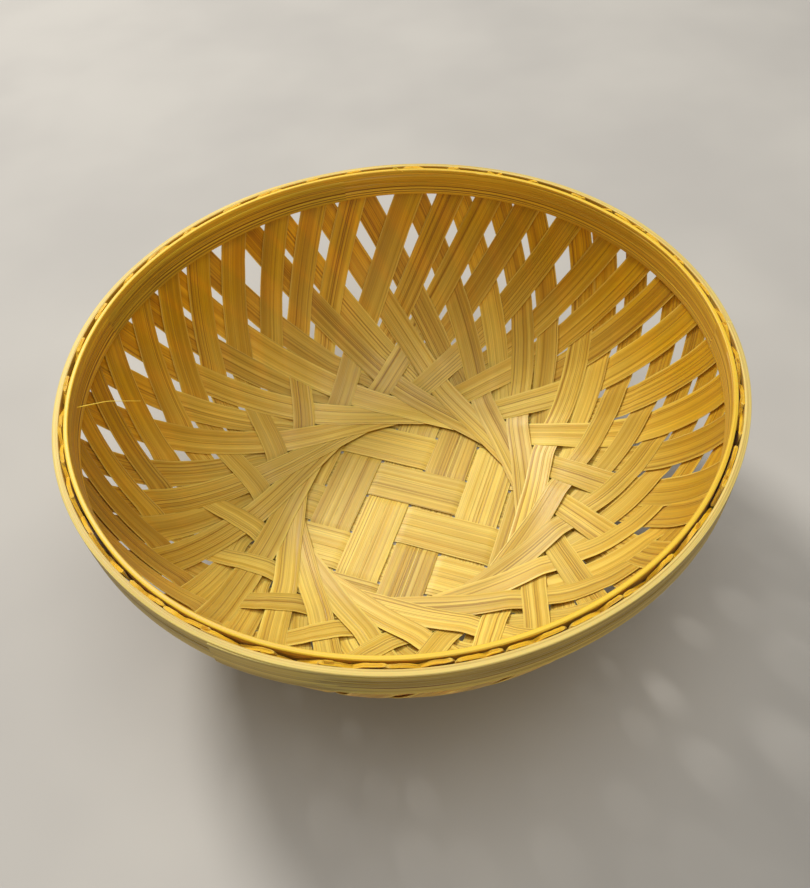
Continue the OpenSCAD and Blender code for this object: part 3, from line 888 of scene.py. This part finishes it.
def splint_material(name, light, dark, gold, gold_dark, edge_colour, tip_colour, line_strength, gloss):
    """Split bamboo: long fibres, dark lines between them, dye, paler worn edges and dyed tips."""
    g = Graph(name)
    tone = g.attribute("tone")
    dye = g.attribute("dye")
    edge = g.attribute("edge")
    tip = g.attribute("tip")
    streak = g.grain(2, 420, 2.0, 0.55, tone)
    fibre = g.grain(9, 2300, 3.0, 0.6)
    bands = g.grain(2, 260, 1.0, 0.5, 3.7)
    lines = g.grain(2, 1350, 2.0, 0.5, 8.1)
    patches = g.grain(30, 60, 3.0, 0.6, 5.2)
    straw = g.mix(g.spread(streak, 0.34, 0.66), dark, light)
    dyed = g.mix(g.spread(streak, 0.32, 0.68), gold_dark, gold)
    uneven = g.maths("MULTIPLY", g.maths("SUBTRACT", patches, 0.5), 0.7)
    share = g.maths("ADD", dye, g.maths("MULTIPLY", uneven, dye), clamp=True)
    colour = g.mix(share, straw, dyed)
    brightness = g.spread(fibre, 0.3, 0.7, 0.82, 1.1)
    brightness = g.maths("MULTIPLY", brightness, g.spread(tone, -1.0, 1.0, 0.9, 1.07))
    brightness = g.maths("MULTIPLY", brightness, g.spread(patches, 0.3, 0.7, 0.94, 1.05))
    colour = g.mix(1.0, colour, brightness, "MULTIPLY")
    crease = g.spread(lines, 0.38, 0.47, 1.0, 0.0)
    crease = g.maths("MULTIPLY", crease, g.spread(bands, 0.36, 0.58, 0.3, 1.0))
    brown = g.mix(1.0, colour, BROWN_LINE, "MULTIPLY")
    colour = g.mix(g.maths("MULTIPLY", crease, line_strength), colour, brown)
    colour = g.mix(g.maths("MULTIPLY", edge, g.spread(fibre, 0.3, 0.6, 0.15, 0.55)), colour, edge_colour)
    colour = g.mix(g.maths("MULTIPLY", tip, g.spread(patches, 0.4, 0.55, 0.25, 1.0)), colour, tip_colour)
    g.feed(g.shader.inputs["Base Color"], colour)
    g.feed(g.shader.inputs["Roughness"], g.spread(fibre, 0.25, 0.75, gloss - 0.07, gloss + 0.16))
    g.shader.inputs["Specular IOR Level"].default_value = 0.45
    g.shader.inputs["Subsurface Weight"].default_value = 0.3
    g.shader.inputs["Subsurface Radius"].default_value = GLOW_COLOUR
    g.shader.inputs["Subsurface Scale"].default_value = GLOW_DEPTH
    g.shader.inputs["Sheen Weight"].default_value = 0.08
    g.shader.inputs["Sheen Roughness"].default_value = 0.4
    height = g.maths("ADD", g.maths("MULTIPLY", fibre, 0.7), g.maths("MULTIPLY", crease, -0.8))
    bump = g.tree.nodes.new("ShaderNodeBump")
    bump.inputs["Strength"].default_value = 0.55
    bump.inputs["Distance"].default_value = BUMP_DEPTH
    g.feed(bump.inputs["Height"], height)
    g.feed(g.shader.inputs["Normal"], bump.outputs[0])
    return g.material


def floor_material():
    """Pale matt backdrop with a faint cloudiness."""
    g = Graph("pale_floor")
    place = g.tree.nodes.new("ShaderNodeNewGeometry")
    noise = g.tree.nodes.new("ShaderNodeTexNoise")
    g.feed(noise.inputs["Vector"], place.outputs["Position"])
    noise.inputs["Scale"].default_value = 6.0
    noise.inputs["Detail"].default_value = 3.0
    shade = g.spread(noise.outputs[0], 0.3, 0.7)
    g.feed(g.shader.inputs["Base Color"], g.mix(shade, srgb(174, 171, 166), srgb(184, 181, 175)))
    g.shader.inputs["Roughness"].default_value = 0.75
    return g.material


SPLINT_COLOURS = {
    "light": srgb(234, 203, 100),
    "dark": srgb(212, 174, 70),
    "gold": srgb(214, 165, 14),
    "gold_dark": srgb(188, 138, 6),
    "edge_colour": srgb(248, 222, 116),
    "tip_colour": srgb(244, 186, 10),
}
ring_look = splint_material("ring_splint_look", line_strength=0.55, gloss=0.40, **SPLINT_COLOURS)
base_look = splint_material("base_splint_look", line_strength=0.6, gloss=0.46, **SPLINT_COLOURS)
inside_look = splint_material(
    "hoop_inside_look", srgb(238, 198, 64), srgb(214, 168, 40), srgb(228, 180, 30), srgb(202, 148, 14),
    srgb(252, 218, 66), srgb(246, 196, 20), 0.9, 0.42)
outside_look = splint_material(
    "hoop_outside_look", srgb(192, 162, 64), srgb(152, 124, 40), srgb(222, 176, 50), srgb(190, 138, 24),
    srgb(250, 228, 140), srgb(246, 196, 20), 1.0, 0.5)

# ---------------------------------------------------------------- the basket
for strip in range(RING_COUNT):
    ring_strip(strip, ring_look)
for strip in range(BASE_COUNT):
    base_strip(True, strip, base_look)
for strip in range(BASE_COUNT):
    base_strip(False, strip, base_look)
inner_hoop(inside_look)
outer_hoop(outside_look)

# ---------------------------------------------------------------- floor, light and camera
FLOOR_SIZE = 6
bpy.ops.mesh.primitive_plane_add(size=FLOOR_SIZE, location=(0, 0, 0))
floor = bpy.context.object
floor.name = "floor"
floor.data.materials.append(floor_material())


def area_light(name, place, target, size, power, colour):
    """A round soft light at a place, aimed at a target."""
    data = bpy.data.lights.new(name, "AREA")
    data.shape = "DISK"
    data.size = size
    data.energy = power
    data.color = colour
    lamp = bpy.data.objects.new(name, data)
    bpy.context.scene.collection.objects.link(lamp)
    lamp.location = place
    aim = Vector(target) - Vector(place)
    lamp.rotation_euler = aim.to_track_quat("-Z", "Y").to_euler()
    return lamp


area_light("key", (-0.85, 1.35, 1.75), (0, 0, 0.03), 0.55, 44, (1.0, 0.97, 0.93))
area_light("overhead", (0.1, -0.1, 1.6), (0, 0, 0), 1.2, 11, (1.0, 0.985, 0.95))
area_light("front_fill", (0.15, -1.1, 0.17), (0, 0, 0.04), 0.5, 2.6, (1.0, 0.97, 0.92))
world = bpy.data.worlds.new("studio")
world.use_nodes = True
world.node_tree.nodes["Background"].inputs["Color"].default_value = (0.96, 0.93, 0.88, 1)
world.node_tree.nodes["Background"].inputs["Strength"].default_value = 0.25
bpy.context.scene.world = world
bpy.context.scene.view_settings.view_transform = "Standard"

CAMERA_PLACE = Vector((0, -0.2156, 0.3106))
PITCH_DOWN = math.radians(49.88)
YAW = math.radians(0.236)
ROLL = math.radians(-5.15)
ahead = math.cos(PITCH_DOWN)
forward = Vector((math.sin(YAW) * ahead, math.cos(YAW) * ahead, -math.sin(PITCH_DOWN)))
level = Vector((math.cos(YAW), -math.sin(YAW), 0))
upward = level.cross(forward)
right = math.cos(ROLL) * level + math.sin(ROLL) * upward
top = -math.sin(ROLL) * level + math.cos(ROLL) * upward
camera_data = bpy.data.cameras.new("camera")
camera_data.lens = 32.88
camera_data.sensor_width = 36
camera_data.shift_y = -0.0147
camera_data.clip_start = 0.01
camera = bpy.data.objects.new("camera", camera_data)
bpy.context.scene.collection.objects.link(camera)
turned = Matrix((right, top, -forward)).transposed().to_4x4()
camera.matrix_world = Matrix.Translation(CAMERA_PLACE) @ turned
bpy.context.scene.camera = camera
